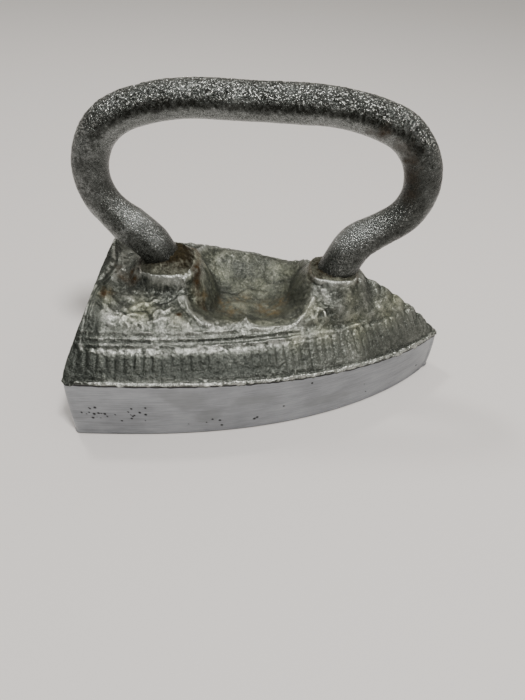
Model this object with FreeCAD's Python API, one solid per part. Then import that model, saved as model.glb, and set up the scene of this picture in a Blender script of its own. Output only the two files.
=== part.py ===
"""Small cast sad iron with a bent bar handle.

Frame: +Z up, +X towards the tip, origin at the middle of the sole's box, on the ironing face.
Pieces: body_casting, handle_bar, rear_socket_packing, front_socket_packing.
"""
import FreeCAD, Part
import math
import os

# ---- Driving dimensions, millimetres -------------------------------------------------------
SOLE_LENGTH = 139.0        # heel to tip
SOLE_WIDTH = 90.0          # across the heel
SIDE_POWER = 2.54          # shape of the curved sides: how long they stay parallel
TIP_POWER = 0.85           # and how full they run into the tip
CORNER_RADIUS = 2.5        # vertical corners of the heel
NOSE_FRACTION = 0.985      # where the sides hand over to the nose's small arc
GROUND_EDGE_HEEL = 25.0    # height of the ground side at the heel
GROUND_EDGE_TIP = 18.5     # and at the tip
SOLE_EDGE_RADIUS = 0.8     # broken edge round the ironing face

BAR_RADIUS = 5.9
BAR_TOP = 109.5            # highest point of the handle

REAR_POST_X = -37.6
REAR_POST_TOP = 47.3
REAR_POST_RADIUS = 11.0
FRONT_POST_X = 22.8
FRONT_POST_TOP = 46.0
FRONT_POST_RADIUS = 10.2
POST_LIP = 1.8             # wall left round the packing at a post's mouth
POST_FLARE = 4.5           # how much wider a post's foot is than its mouth
POST_FOOT_DROP = 13.0      # from a post's mouth down to its foot, inside the crown
PACKING_DEPTH = 4.0
PACKING_RECESS = 0.8       # the packing's edge lies this far below the mouth
MOUND_RISE = 2.4           # how far it is heaped up against the bar, over its edge
MOUND_TOP_RADIUS = 6.6

RECESS_BRIM = 46.0         # height at which the recess's scoops are widest

HALF_LENGTH = SOLE_LENGTH / 2.0
HALF_WIDTH = SOLE_WIDTH / 2.0
TOP_AXIS = BAR_TOP - BAR_RADIUS

# The body's outline at each level, from the sole to the crown's flat:
# heel x, tip x, half width, height at the heel, height at the tip.
LEVELS = [
    (-HALF_LENGTH, HALF_LENGTH, HALF_WIDTH, 0.0, 0.0),                            # ironing face
    (-HALF_LENGTH, HALF_LENGTH, HALF_WIDTH, GROUND_EDGE_HEEL, GROUND_EDGE_TIP),   # ground side's top
    (-69.1, 68.3, 44.0, 25.6, 19.4),                                              # plain strip
    (-68.4, 65.6, 42.3, 27.2, 21.8),                                              # fluted band, foot
    (-66.0, 58.4, 35.6, 32.6, 28.9),                                              # fluted band, head
    (-65.4, 57.4, 34.9, 34.0, 30.2),                                              # rounded moulding
    (-65.2, 56.2, 33.7, 33.9, 30.6),                                              # groove
    (-64.7, 54.4, 32.6, 35.4, 32.4),                                              # thin bead
    (-64.4, 53.4, 31.6, 35.4, 33.0),                                              # ornament field's foot
    (-62.6, 43.6, 24.0, 41.0, 39.0),                                              # shoulder
    (-62.0, 38.0, 16.0, 43.6, 41.4),                                              # upper shoulder
    (-61.8, 34.0, 7.0, 45.2, 43.2),                                               # crown's flat
]

# The handle's centreline in the XZ plane: corners of its straight runs, and the bend at each.
BAR_CORNERS = [
    (-33.1, 40.1),
    (-61.4, 72.0),
    (-60.5, 94.7),
    (-34.6, TOP_AXIS + 0.1),
    (21.1, TOP_AXIS - 0.4),
    (47.2, 94.2),
    (48.9, 70.6),
    (29.2, 57.1),
    (20.6, 37.2),
]
BEND_RADII = [19.0, 21.8, 72.0, 71.0, 21.5, 16.2, 15.0]

# Scoops of the recess between the posts: centre x, centre y, half length, half width, depth.
SCOOPS = [
    (-8.0, 0.0, 25.0, 29.0, 16.5),
    (-16.0, 12.0, 17.0, 18.6, 14.2),
    (-16.0, -12.0, 17.0, 18.6, 14.2),
    (-0.5, 10.5, 18.0, 19.2, 14.2),
    (-0.5, -10.5, 18.0, 19.2, 14.2),
]


def vector(x, y, z):
    return FreeCAD.Vector(x, y, z)


def side_profile(fraction):
    """Half width at a fraction of the way from heel to tip, as a share of the heel's half width."""
    return (1.0 - fraction ** SIDE_POWER) ** TIP_POWER


def outline(heel_x, tip_x, half_width, heel_z, tip_z):
    """Closed iron-shaped wire, in a plane that may fall towards the tip."""
    length = tip_x - heel_x
    scale = half_width / HALF_WIDTH
    corner = CORNER_RADIUS * scale

    def point(x, y):
        return vector(x, y, heel_z + (tip_z - heel_z) * (x - heel_x) / length)

    start = corner / length
    stations = 9
    fractions = [start + (NOSE_FRACTION - start) * math.sin(0.5 * math.pi * i / stations)
                 for i in range(stations + 1)]

    def side(sign):
        return [point(heel_x + f * length, sign * half_width * side_profile(f)) for f in fractions]

    def corner_arc(sign):
        inset = corner * (1.0 - math.sqrt(0.5))
        return Part.Arc(point(heel_x, sign * (half_width - corner)),
                        point(heel_x + inset, sign * (half_width - inset)),
                        side(sign)[0]).toShape()

    def side_curve(points):
        curve = Part.BSplineCurve()
        curve.interpolate(points)
        return curve.toShape()

    left, right = side(1), side(-1)
    edges = [
        Part.LineSegment(point(heel_x, corner - half_width), point(heel_x, half_width - corner)).toShape(),
        corner_arc(1),
        side_curve(left),
        Part.Arc(left[-1], point(tip_x, 0.0), right[-1]).toShape(),
        side_curve(right[::-1]),
        corner_arc(-1),
    ]
    return Part.Wire(Part.__sortEdges__(edges))


def ground_block_and_crown():
    body = Part.makeLoft([outline(*level) for level in LEVELS], True, True)
    sole_edges = [e for e in body.Edges if e.BoundBox.ZMax < 1e-6]
    return body.makeFillet(SOLE_EDGE_RADIUS, sole_edges)


def recess():
    """Dished hollow with a bracket-shaped brim on each long side."""
    hollow = None
    for x, y, half_length, half_width, depth in SCOOPS:
        stretch = FreeCAD.Matrix()
        stretch.scale(half_length, half_width, depth)
        stretch.move(vector(x, y, RECESS_BRIM))
        scoop = Part.makeSphere(1.0).transformGeometry(stretch)
        hollow = scoop if hollow is None else hollow.fuse(scoop)
    return hollow


def post(x, top, radius):
    """Round post that flares out into the crown."""
    foot = top - POST_FOOT_DROP
    return Part.makeCone(radius + POST_FLARE, radius, POST_FOOT_DROP, vector(x, 0.0, foot))


def packing_pocket(x, top, radius, below_mouth):
    """The round pocket at a post's mouth, from below_mouth down to its floor."""
    height = PACKING_DEPTH - below_mouth
    return Part.makeCylinder(radius - POST_LIP, height, vector(x, 0.0, top - PACKING_DEPTH))


def bar_centreline():
    """Straight runs joined by tangent arcs."""
    corners = [vector(x, 0.0, z) for x, z in BAR_CORNERS]
    edges = []
    run_start = corners[0]
    for before, corner, after, radius in zip(corners, corners[1:], corners[2:], BEND_RADII):
        towards_before = (before - corner).normalize()
        towards_after = (after - corner).normalize()
        half_angle = towards_before.getAngle(towards_after) / 2.0
        tangent_length = radius / math.tan(half_angle)
        arc_start = corner + towards_before * tangent_length
        arc_end = corner + towards_after * tangent_length
        bisector = (towards_before + towards_after).normalize()
        middle = corner + bisector * (radius / math.sin(half_angle) - radius)
        if (arc_start - run_start).dot(corner - before) <= 0.0:
            raise ValueError("the bends at %s and before it overlap" % corner)
        edges.append(Part.LineSegment(run_start, arc_start).toShape())
        edges.append(Part.Arc(arc_start, middle, arc_end).toShape())
        run_start = arc_end
    edges.append(Part.LineSegment(run_start, corners[-1]).toShape())
    return Part.Wire(edges)


def handle_bar():
    path = bar_centreline()
    start = path.Edges[0]
    direction = start.tangentAt(start.FirstParameter)
    section = Part.Wire(Part.makeCircle(BAR_RADIUS, start.Vertexes[0].Point, direction))
    return path.makePipeShell([section], True, True)


def socket_packing(x, top, radius, bar):
    """Filling of a pocket, heaped into a low cone round the bar."""
    edge = top - PACKING_RECESS
    fill = packing_pocket(x, top, radius, PACKING_RECESS)
    mound = Part.makeCone(radius - POST_LIP, MOUND_TOP_RADIUS, MOUND_RISE, vector(x, 0.0, edge))
    return fill.fuse(mound).removeSplitter().cut(bar)


def body_casting(bar):
    body = ground_block_and_crown().cut(recess())
    for x, top, radius in POSTS:
        body = body.fuse(post(x, top, radius))
    for x, top, radius in POSTS:
        body = body.cut(packing_pocket(x, top, radius, 0.0))
    return body.cut(bar)


POSTS = [
    (REAR_POST_X, REAR_POST_TOP, REAR_POST_RADIUS),
    (FRONT_POST_X, FRONT_POST_TOP, FRONT_POST_RADIUS),
]


def main():
    bar = handle_bar()
    nodes = {
        "body_casting": body_casting(bar),
        "handle_bar": bar,
        "rear_socket_packing": socket_packing(*POSTS[0], bar),
        "front_socket_packing": socket_packing(*POSTS[1], bar),
    }
    os.makedirs("parts", exist_ok=True)
    for name, shape in nodes.items():
        solids = shape.Solids
        if len(solids) != 1 or not solids[0].isValid():
            raise ValueError("%s is not one valid solid" % name)
        solids[0].exportStep(os.path.join("parts", name + ".step"))
        box = solids[0].BoundBox
        print("%s: %.1f cm3, x %.1f..%.1f, y %.1f..%.1f, z %.1f..%.1f" % (
            name, solids[0].Volume / 1000.0, box.XMin, box.XMax, box.YMin, box.YMax, box.ZMin, box.ZMax))


main()
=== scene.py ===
"""Looks of the sad iron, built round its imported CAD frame.

The casting, the bar and the rust in the sockets are rebuilt as dense meshes with their flutes,
ornament, cast skin and pits. Shapes are worked out in millimetres in the CAD frame and written
to the meshes in metres.
"""
import math
from collections import namedtuple
from itertools import product

import bmesh
import bpy
import numpy as np
from mathutils import Matrix, Vector


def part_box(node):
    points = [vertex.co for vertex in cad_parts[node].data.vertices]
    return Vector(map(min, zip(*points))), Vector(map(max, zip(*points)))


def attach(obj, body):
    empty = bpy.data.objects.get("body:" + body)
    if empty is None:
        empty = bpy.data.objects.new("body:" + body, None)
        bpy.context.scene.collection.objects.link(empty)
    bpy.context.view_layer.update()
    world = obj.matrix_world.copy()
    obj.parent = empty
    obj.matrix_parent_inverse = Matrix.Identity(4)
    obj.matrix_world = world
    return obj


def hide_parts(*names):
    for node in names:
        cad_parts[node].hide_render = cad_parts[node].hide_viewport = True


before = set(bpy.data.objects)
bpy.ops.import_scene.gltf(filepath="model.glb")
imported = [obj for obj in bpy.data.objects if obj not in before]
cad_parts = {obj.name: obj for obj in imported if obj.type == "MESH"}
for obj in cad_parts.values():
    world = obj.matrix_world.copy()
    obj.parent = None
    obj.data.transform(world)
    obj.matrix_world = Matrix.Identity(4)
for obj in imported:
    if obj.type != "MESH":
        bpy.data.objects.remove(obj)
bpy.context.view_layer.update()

MM = 0.001

# ---- Sizes taken from the frame
body_low, body_high = (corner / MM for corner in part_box("body_casting"))
bar_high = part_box("handle_bar")[1] / MM
HEEL_X, TIP_X = body_low.x, body_high.x
LENGTH = TIP_X - HEEL_X
HALF_WIDTH = body_high.y
BAR_RADIUS = bar_high.y

# ---- Shape of the casting, millimetres
SIDE_POWER, TIP_POWER = 2.54, 0.85  # how the curved sides run from the heel into the tip
CORNER_RADIUS = 2.5  # vertical corners of the heel
NOSE_FRACTION = 0.985  # where the sides hand over to the nose's arc
GROUND_EDGE_HEEL, GROUND_EDGE_DROP = 25.0, 8.0  # height of the ground side, and its fall to the tip
BARREL = 0.35  # bulge of the ground side
SOLE_EDGE = 0.9  # worn edge round the ironing face
FLUTE_PITCH = 3.2
FLUTE_FOOT, FLUTE_HEAD = 2.5, 9.7  # inward distances between which the flutes lie
LEDGE, LEDGE_GROOVE = 10.55, 11.7  # inward distances of the lines over the flutes
BEAD, BORDER_GROOVE = 12.6, 13.4
FIELD_EDGE = 14.3  # inward distance of the ornament field's border
CROWN_SLOPE, CROWN_STRAIGHT = 0.8, 19.0  # the crown's rise, and how far in it stays straight
CROWN_LAST_RISE, CROWN_LEVELLING = 5.3, 7.5  # what it still rises after that, and over what distance

# The posts: place along the iron, height and radius of the mouth, slope of the flank in each of
# FLANK_DIRECTIONS, and depth of the dip round the foot.
Post = namedtuple("Post", "x mouth radius slopes dip")
POSTS = (
    Post(-37.6, 47.3, 11.0, (1.2, 1.5, 2.0, 2.6, 2.2, 2.3, 2.5), 0.0),
    Post(23.2, 46.3, 9.0, (1.15, 1.4, 2.1, 1.45, 1.5, 1.7, 2.1), 0.2),
)
FLANK_DIRECTIONS = (-1.0, -0.9, -0.65, 0.0, 0.45, 0.75, 1.0)  # cosines of the angle to the recess
POST_LIP = 1.0  # wall left round the packing at a post's mouth
POCKET_DEPTH = 2.4
MOUTH_POWER = 3.2  # how squarely the mouths are rounded

# Lobes of the recess between the posts: centre x, half length, half width.
LOBES = ((-16.0, 15.2, 24.8), (-1.5, 17.3, 25.2))
LOBE_POWER = 3.0
LOBES_MEET_X = -8.0  # the half widths above hold here, and follow the plan elsewhere
CUSP_X, CUSP_WIDTH, CUSP_DEPTH = -8.6, 1.7, 0.13  # the cusp between the lobes
RECESS_FLOOR = 29.5

# Lines of the ornament in plan, with y measured from the middle: points, width, height.
LINES = (
    (((-33, 17.5), (-31.4, 20.4), (-28.4, 23.4), (-24.6, 26.2), (-20, 28)), 0.4, -0.25),
    (((-34, 14.5), (-36.5, 17), (-40, 18), (-44, 17.2)), 0.8, -0.5),
    (((-40.5, 24), (-39, 22.2), (-36.8, 22.6), (-34.6, 20.6)), 0.6, 0.8),
    (((-47.5, 20.8), (-45.6, 19.2), (-43.2, 19), (-41.2, 17.4)), 0.9, 0.8),
    (((-48, 23), (-45, 22.2), (-42.5, 23.5), (-41.5, 25.6)), 0.6, -0.5),
    (((-60, 21.5), (-57, 23.4), (-52, 23.3), (-50, 24.8)), 0.5, -0.45),
    (((-40, 26.8), (-37, 25.2), (-33, 25.6)), 0.7, 0.5),
    (((10.5, 19.2), (13, 17.2), (14.6, 14.8), (15.6, 12.6)), 1, 0.8),
    (((16.5, 18), (17.5, 15.6), (19.5, 15), (20.3, 16.8)), 0.6, 0.55),
    (((13.5, 20.8), (17, 19.2), (21, 18.4), (27, 16.6), (33, 13.4)), 0.8, -0.55),
    (((29, 14.5), (32, 12.2), (36, 11.4), (39, 9.2)), 0.7, 0.45),
    (((38, 12.2), (42, 10), (47, 6.4)), 0.6, -0.5),
)
# Lumps of the ornament: x, y, half length, half width, height.
LUMPS = (
    (-54.8, 26, 2.1, 1, 0.55),
    (-47.6, 26.2, 1.5, 0.9, 0.6),
    (-58, 18, 2, 2, 0.8),
    (-54, 19.6, 1.6, 1.2, 0.5),
    (-51.5, 16.2, 2, 1.4, 0.5),
    (-32, 24.2, 1.5, 1.3, 0.5),
    (-29, 27.2, 1.8, 1, 0.5),
    (25.6, 13.8, 2.6, 1.1, 0.9),
    (42.2, 7, 1.7, 1.1, 0.8),
    (36, 9, 1.6, 1, 0.5),
    (33, 15, 1.5, 0.9, 0.5),
    (47, 4.6, 1.6, 1, 0.6),
    (-9.5, 27, 1.2, 1.1, 0.7),
)
# Oval rings of the ornament: x, y, half length, half width, line width, height.
RINGS = (
    (-54.8, 26, 4.4, 2.4, 0.5, 0.4),
    (-47.2, 26.2, 3.2, 2, 0.5, 0.4),
    (17.5, 17, 2.6, 2, 0.6, 0.5),
)
# Creases in the recess: points, width, depth.
CREASES = (
    (((-24, 3), (-19, 6), (-13, 5), (-8, 8), (-2, 7)), 0.9, 0.25),
    (((-3, 14), (0, 11), (4, 10.5), (7, 9.5)), 0.8, 0.3),
)


def smooth(low, high, value):
    t = np.clip((value - low) / (high - low), 0.0, 1.0)
    return t * t * (3.0 - 2.0 * t)


def bump(value, centre, width):
    return np.exp(-((value - centre) / width) ** 2)


def smooth_max(a, b, blend):
    h = np.clip(0.5 + 0.5 * (a - b) / blend, 0.0, 1.0)
    return b + (a - b) * h + blend * h * (1.0 - h)


def smooth_min(a, b, blend):
    return -smooth_max(-a, -b, blend)


# ---- Noise
LATTICE = 48


def noise(points, scale, seed):
    """Smooth noise of about -1 to 1 at points (n, 3), with features about scale millimetres across."""
    table = np.random.RandomState(seed).uniform(-1.0, 1.0, (LATTICE,) * 3)
    q = points / scale + 101.7
    cell = np.floor(q).astype(int)
    f = q - cell
    f = f * f * f * (f * (f * 6.0 - 15.0) + 10.0)
    total = np.zeros(len(points))
    for corner in product((0, 1), repeat=3):
        weight = np.prod(np.where(corner, f, 1.0 - f), axis=1)
        total += weight * table[tuple(((cell + corner) % LATTICE).T)]
    return total


def layered_noise(points, scale, seed, layers=3):
    total = np.zeros(len(points))
    for layer in range(layers):
        total += noise(points, scale / 2.0 ** layer, seed + layer) / 1.8 ** layer
    return total


def plan_noise(x, y, scale, seed, layers=1):
    return layered_noise(np.column_stack([x, y, np.zeros_like(x)]), scale, seed, layers)


# ---- Plan of the casting
def side_profile(fraction):
    return (1.0 - np.clip(fraction, 0.0, 1.0) ** SIDE_POWER) ** TIP_POWER


def half_outline():
    """One side's outline in plan, from the middle of the heel to the tip."""
    heel_y = np.arange(0.0, HALF_WIDTH - CORNER_RADIUS, 0.05)
    turn = np.linspace(0.0, 0.5 * math.pi, 80)
    start = CORNER_RADIUS / LENGTH
    fraction = start + (NOSE_FRACTION - start) * np.sin(np.linspace(0.0, 0.5 * math.pi, 4000))
    side = np.column_stack([HEEL_X + fraction * LENGTH, HALF_WIDTH * side_profile(fraction)])
    nose_x, nose_y = side[-1]
    depth = TIP_X - nose_x
    nose_radius = (depth ** 2 + nose_y ** 2) / (2.0 * depth)
    swing = np.linspace(math.asin(min(1.0, nose_y / nose_radius)), 0.0, 60)
    return np.vstack([
        np.column_stack([np.full_like(heel_y, HEEL_X), heel_y]),
        np.column_stack([HEEL_X + CORNER_RADIUS * (1.0 - np.cos(turn)),
                         HALF_WIDTH - CORNER_RADIUS * (1.0 - np.sin(turn))]),
        side,
        np.column_stack([TIP_X - nose_radius * (1.0 - np.cos(swing)), nose_radius * np.sin(swing)]),
    ])


def unit(vectors):
    return vectors / np.linalg.norm(vectors, axis=-1, keepdims=True)


def along(points):
    return np.concatenate([[0.0], np.cumsum(np.hypot(*np.diff(points, axis=0).T))])


def resample(points, spacing):
    length = along(points)
    count = int(round(length[-1] / spacing))
    at = np.linspace(0.0, length[-1], count + 1)
    return np.column_stack([np.interp(at, length, points[:, i]) for i in (0, 1)])


def side_line():
    """One long side in plan, run on straight past the heel so that distances to it stay smooth there."""
    outline = half_outline()
    side = outline[outline[:, 0] > HEEL_X + CORNER_RADIUS]
    return resample(np.vstack([[(HEEL_X - 8.0, HALF_WIDTH)], side]), 0.25)


SIDE = side_line()
SIDE_ALONG = along(SIDE)
SIDE_TANGENT = unit(np.gradient(SIDE, axis=0))
SIDE_INWARD = np.column_stack([SIDE_TANGENT[:, 1], -SIDE_TANGENT[:, 0]])


def side_foot(x, y):
    """Distance along the side, and inward from it, of each plan point."""
    run = np.empty(len(x))
    inward = np.empty(len(x))
    plan = np.column_stack([x, np.abs(y)])
    for first in range(0, len(x), 4000):
        p = plan[first:first + 4000]
        gap = ((p[:, None, :] - SIDE[None, :, :]) ** 2).sum(2)
        nearest = gap.argmin(1)
        offset = p - SIDE[nearest]
        run[first:first + 4000] = SIDE_ALONG[nearest] + (offset * SIDE_TANGENT[nearest]).sum(1)
        inward[first:first + 4000] = (offset * SIDE_INWARD[nearest]).sum(1)
    return run, inward


def tip_share(x):
    return np.clip((x - HEEL_X) / LENGTH, 0.0, 1.0)


def ground_edge(x):
    return GROUND_EDGE_HEEL - GROUND_EDGE_DROP * tip_share(x) ** 1.8


def crown_rise(inward):
    """Rise of the crown over the ground edge, before the steepening towards the tip."""
    past = np.maximum(inward - CROWN_STRAIGHT, 0.0)
    last = CROWN_LAST_RISE * (1.0 - np.exp(-past / CROWN_LEVELLING))
    return CROWN_SLOPE * np.minimum(inward, CROWN_STRAIGHT) + last


def steepening(x):
    """How much steeper the crown is towards the tip than at the heel."""
    return 1.0 + 0.55 * tip_share(x) ** 2


def recess_share(x, y):
    """0 at the recess's middle, 1 on its brim, from two overlapping lobes."""
    meeting_width = side_profile(tip_share(LOBES_MEET_X))
    narrowing = np.maximum(side_profile(tip_share(x)), 0.05) / meeting_width
    scaled_y = np.abs(y) / narrowing
    shares = [(np.abs((x - centre) / half_length) ** LOBE_POWER
               + (scaled_y / half_width) ** LOBE_POWER) ** (1.0 / LOBE_POWER)
              for centre, half_length, half_width in LOBES]
    inside = 1.0 - np.clip(np.minimum(*shares), 0.0, 1.0)
    near_side = smooth(4.0, -4.0, y)
    cusp = CUSP_DEPTH * np.exp(-np.abs(x - CUSP_X) / CUSP_WIDTH) * smooth(0.5, 0.95, np.minimum(*shares))
    cusp = cusp * near_side
    return smooth_min(*shares, 0.025 + 2.2 * inside) + cusp


# ---- Ornament
def curve_through(points, steps=9):
    """A smooth line through a few points, as a dense polyline."""
    p = np.array(points, float)
    p = np.vstack([2.0 * p[0] - p[1], p, 2.0 * p[-1] - p[-2]])
    t = np.linspace(0.0, 1.0, steps, endpoint=False)[:, None]
    spans = [0.5 * (2.0 * b + (c - a) * t + (2.0 * a - 5.0 * b + 4.0 * c - d) * t ** 2
                    + (3.0 * b - a - 3.0 * c + d) * t ** 3)
             for a, b, c, d in zip(p, p[1:], p[2:], p[3:])]
    return np.vstack(spans + [p[-2:-1]])


def line_share(x, y, points, width):
    """1 on a drawn line, falling away over its width."""
    line = curve_through(points)
    low, high = line.min(0) - 3.0 * width, line.max(0) + 3.0 * width
    near = (x > low[0]) & (x < high[0]) & (y > low[1]) & (y < high[1])
    share = np.zeros(len(x))
    if near.any():
        gap = ((np.column_stack([x, y])[near][:, None, :] - line[None, :, :]) ** 2).sum(2).min(1)
        share[near] = np.exp(-gap / width ** 2)
    return share


def ornament(x, y, inward):
    """Relief of the field between the band and the posts."""
    side = np.abs(y)
    wobble = 0.35 * plan_noise(x, side, 2.6, 401)
    relief = np.zeros(len(x))
    for points, width, height in LINES:
        relief += height * line_share(x + wobble, side - wobble, points, width)
    for cx, cy, half_length, half_width, height in LUMPS:
        relief += height * np.exp(-((x + wobble - cx) / half_length) ** 2 - ((side - cy) / half_width) ** 2)
    for cx, cy, half_length, half_width, width, height in RINGS:
        across = np.hypot((x + wobble - cx) / half_length, (side + wobble - cy) / half_width) - 1.0
        relief += height * np.exp(-(across * half_width / width) ** 2)
    beads = 0.5 + 0.5 * np.cos(2.0 * math.pi * (x + 3.0 * wobble) / 1.7)
    relief += 0.16 * beads * bump(inward, FIELD_EDGE + 1.7, 0.6) * smooth(-30.0, -33.0, x)
    leaves = plan_noise(1.2 * x, side, 2.3, 411, 3)
    in_field = smooth(FIELD_EDGE + 0.6, FIELD_EDGE + 2.5, inward)
    relief += 0.16 * leaves * in_field + 0.10 * smooth(0.15, 0.7, leaves) * in_field
    return relief


def mouldings(x, run, inward):
    """Relief of the band: parting edge, plain strip, arch-headed flutes, ledge, bead and border."""
    wander = plan_noise(run, 0.15 * inward, 7.0, 421, 3)
    uneven = plan_noise(run, inward, 2.2, 431, 2)
    phase = (run / FLUTE_PITCH + 0.17 * wander) % 1.0 - 0.5
    head = FLUTE_HEAD - 1.5 * (2.0 * np.abs(phase)) ** 2 + 0.25 * uneven
    foot = FLUTE_FOOT + 0.9 * uneven
    inside = smooth(foot - 0.5, foot + 0.8, inward) * (1.0 - smooth(head - 0.35, head + 0.25, inward))
    tongue = 1.0 - np.abs(2.0 * phase) ** 3.0
    depth = 0.38 + 0.10 * smooth(12.0, 34.0, x) + 0.20 * plan_noise(run, inward * 0.3, 5.0, 441)
    relief = inside * (depth * tongue * smooth(foot - 1.0, foot + 4.0, inward) - 0.2)
    relief += 0.14 * inside * bump(inward, head - 0.55, 0.5) * (0.6 + 0.8 * uneven)
    fading = 1.0 - 0.6 * smooth(10.0, 32.0, x)
    broken = (0.7 + 0.55 * plan_noise(run, inward, 3.0, 451, 3)) * fading
    ragged = 0.75 + 0.5 * plan_noise(run, inward, 1.6, 455, 2)
    relief += 0.95 * smooth(-0.3, 0.0, inward) * smooth(1.6, 0.5, inward) * ragged
    relief -= 0.30 * bump(inward, 1.6, 0.6)
    relief += 0.66 * bump(inward, LEDGE, 0.62) * broken
    relief -= 0.14 * bump(inward, LEDGE_GROOVE, 0.6) * fading
    relief += 0.32 * bump(inward, BEAD, 0.30) * broken * smooth(20.0, 10.0, x)
    relief -= 0.12 * bump(inward, BORDER_GROOVE, 0.4) * smooth(34.0, 14.0, x)
    relief += 0.40 * bump(inward, FIELD_EDGE, 0.5) * broken
    return relief


def ridge_humps(x, y):
    """Overlapping leaves along the front ridge, seen as humps on its silhouette."""
    leaf = np.abs(np.sin(math.pi * (x - 36.5) / 5.6 + 0.05 * np.abs(y))) ** 0.7 - 0.6
    return 0.9 * leaf * smooth(34.0, 37.0, x) * smooth(66.5, 63.5, x) * np.exp(-(y / 4.5) ** 2)


def squarish(x, y):
    """Distance from a middle, measured so that equal distances draw a rounded square."""
    return (np.abs(x) ** MOUTH_POWER + np.abs(y) ** MOUTH_POWER) ** (1.0 / MOUTH_POWER)


def outside_post(x, y, post):
    """Distance outside the circle round a post's mouth."""
    return np.hypot(x - post.x, y) - post.radius


def outside_mouth(x, y, post):
    """Distance outside a post's mouth, whose edge is a little uneven."""
    return squarish(x - post.x, y) - post.radius + 0.25 * plan_noise(x, y, 3.6, 461, 3)


def towards_recess(x, y, post):
    """Cosine of the angle between the direction from a post's middle and the recess."""
    return np.sign(-post.x) * (x - post.x) / np.maximum(np.hypot(x - post.x, y), 1e-6)


def post_shoulder(x, y, post):
    """How much wider the mouth's lip is on the recess side of the rear post."""
    return 1.5 * smooth(0.3, 0.9, towards_recess(x, y, post)) * (post.x < 0.0)


def post_surface(x, y, post):
    """Height of a post's flank, which falls from the mouth's edge into the crown."""
    round_away = np.maximum(np.hypot(x - post.x, y) - 1.04 * post.radius, 0.0)
    away = 0.45 * np.maximum(outside_mouth(x, y, post), 0.0) + 0.55 * round_away
    uneven = 0.45 * plan_noise(x, y, 3.0, 463, 3)
    facing = towards_recess(x, y, post)
    slope = np.interp(facing, FLANK_DIRECTIONS, post.slopes)
    rounding = 1.1 * smooth(-0.95, -0.5, facing)
    fall = rounding * (1.0 - np.exp(-away / 0.45)) + slope * away + 0.14 * np.maximum(away - 3.0, 0.0) ** 2
    return post.mouth - fall + uneven * smooth(0.0, 2.0, away)


def striations(x, y):
    """Chisel-like ribs running down the front post's front flank."""
    post = POSTS[1]
    angle = np.arctan2(y, x - post.x)
    ribs = 0.22 * np.cos(30.0 * angle) * smooth(0.2, 0.8, np.cos(angle))
    return ribs * bump(outside_post(x, y, post), 3.2, 2.6)


def heel_height(x, y):
    """The heel's leaning face, seen as an upper limit on the crown."""
    heel = x - HEEL_X - 0.35
    lean, knee, lean_over_knee = 2.35, 6.9, 5.0
    foot = 2.2 * (1.0 - np.exp(-np.maximum(heel, 0.0) / 0.45))
    face = lean * np.minimum(heel, knee) + lean_over_knee * np.maximum(heel - knee, 0.0)
    return GROUND_EDGE_HEEL + 0.9 + foot + face


def heel_frame(x, y, inward):
    """Plain raised strip along the heel's top edge, and a lump on its far half."""
    back = x - HEEL_X - 7.4 + 0.05 * np.maximum(np.abs(y) - 24.0, 0.0) ** 1.5
    strip = 0.25 * smooth(3.4, 2.4, back)
    far_lump = 1.3 * np.exp(-((x + 61.0) / 2.2) ** 2 - ((y - 15.0) / 9.0) ** 2)
    return strip * smooth(FIELD_EDGE - 1.5, FIELD_EDGE + 0.5, inward) + far_lump


def clear_of_posts(x, y):
    """0 at the posts' mouths, 1 well away from them."""
    return smooth(2.0, 8.0, np.minimum(*(outside_post(x, y, post) for post in POSTS)))


def with_recess(x, y, height):
    """The crown's height with the recess sunk into it, and a rough lip on its brim."""
    share = recess_share(x, y)
    floor = RECESS_FLOOR + 0.03 * np.abs(y) + 0.45 * plan_noise(x, y, 7.0, 471, 2)
    inside = floor + np.maximum(height - floor, 2.0) * np.clip(share, 0.0, 1.3) ** 2.5
    for points, width, depth in CREASES:
        inside -= depth * line_share(x, y, points, width)
    clear = clear_of_posts(x, y)
    height = np.where(share < 1.2, smooth_min(height, inside, 0.8 + 2.0 * (1.0 - clear)), height)
    lip = (0.22 + 0.40 * plan_noise(x, y, 1.6, 481, 3)) * clear
    return height + lip * bump(share, 1.02, 0.022) - 0.12 * clear * bump(share, 1.08, 0.026)


def with_posts(x, y, height):
    """The crown's height with both posts blended in, and the pockets in their mouths."""
    blend = 1.6 + 2.6 * smooth(1.0, 0.8, recess_share(x, y)) + 1.2 * smooth(0.0, 15.0, x)
    for post in POSTS:
        height = smooth_max(height, post_surface(x, y, post), blend)
    height = height + striations(x, y)
    for post in POSTS:
        out = outside_mouth(x, y, post)
        worn_side = smooth(0.2, 0.9, np.abs(towards_recess(x, y, post)))
        wear = 0.25 * plan_noise(x, y, 2.0, 491, 2) - 0.25 * bump(out, 0.0, 0.5)
        wear -= (0.2 + 0.6 * worn_side) * smooth(-1.8, 0.4, out)
        height += wear * smooth(1.6, 0.0, out)
        lip = POST_LIP + post_shoulder(x, y, post)
        wall = smooth(-lip - 0.5, -lip + 0.3, out)
        height = np.where(out < 0.0, post.mouth - POCKET_DEPTH * (1.0 - wall) + wear * wall, height)
    return height


def crown_height(x, y):
    """Height of everything cast over the ground edge."""
    run, inward = side_foot(x, y)
    height = ground_edge(x) + crown_rise(inward) * steepening(x)
    height -= 3.2 * smooth(15.0, 27.0, inward) * smooth(-62.0, -52.0, x) * smooth(-20.0, -30.0, x)
    for post in POSTS:
        height -= post.dip * bump(outside_post(x, y, post), 3.6, 3.0)
    past_heel = smooth(HEEL_X + 3.2, HEEL_X + 4.4, x)
    height += mouldings(x, run, inward) * past_heel
    height += ornament(x, y, inward) * past_heel
    height += ridge_humps(x, y) + heel_frame(x, y, inward)
    height = smooth_min(height, heel_height(x, y), 0.8)
    return with_posts(x, y, with_recess(x, y, height))


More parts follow.
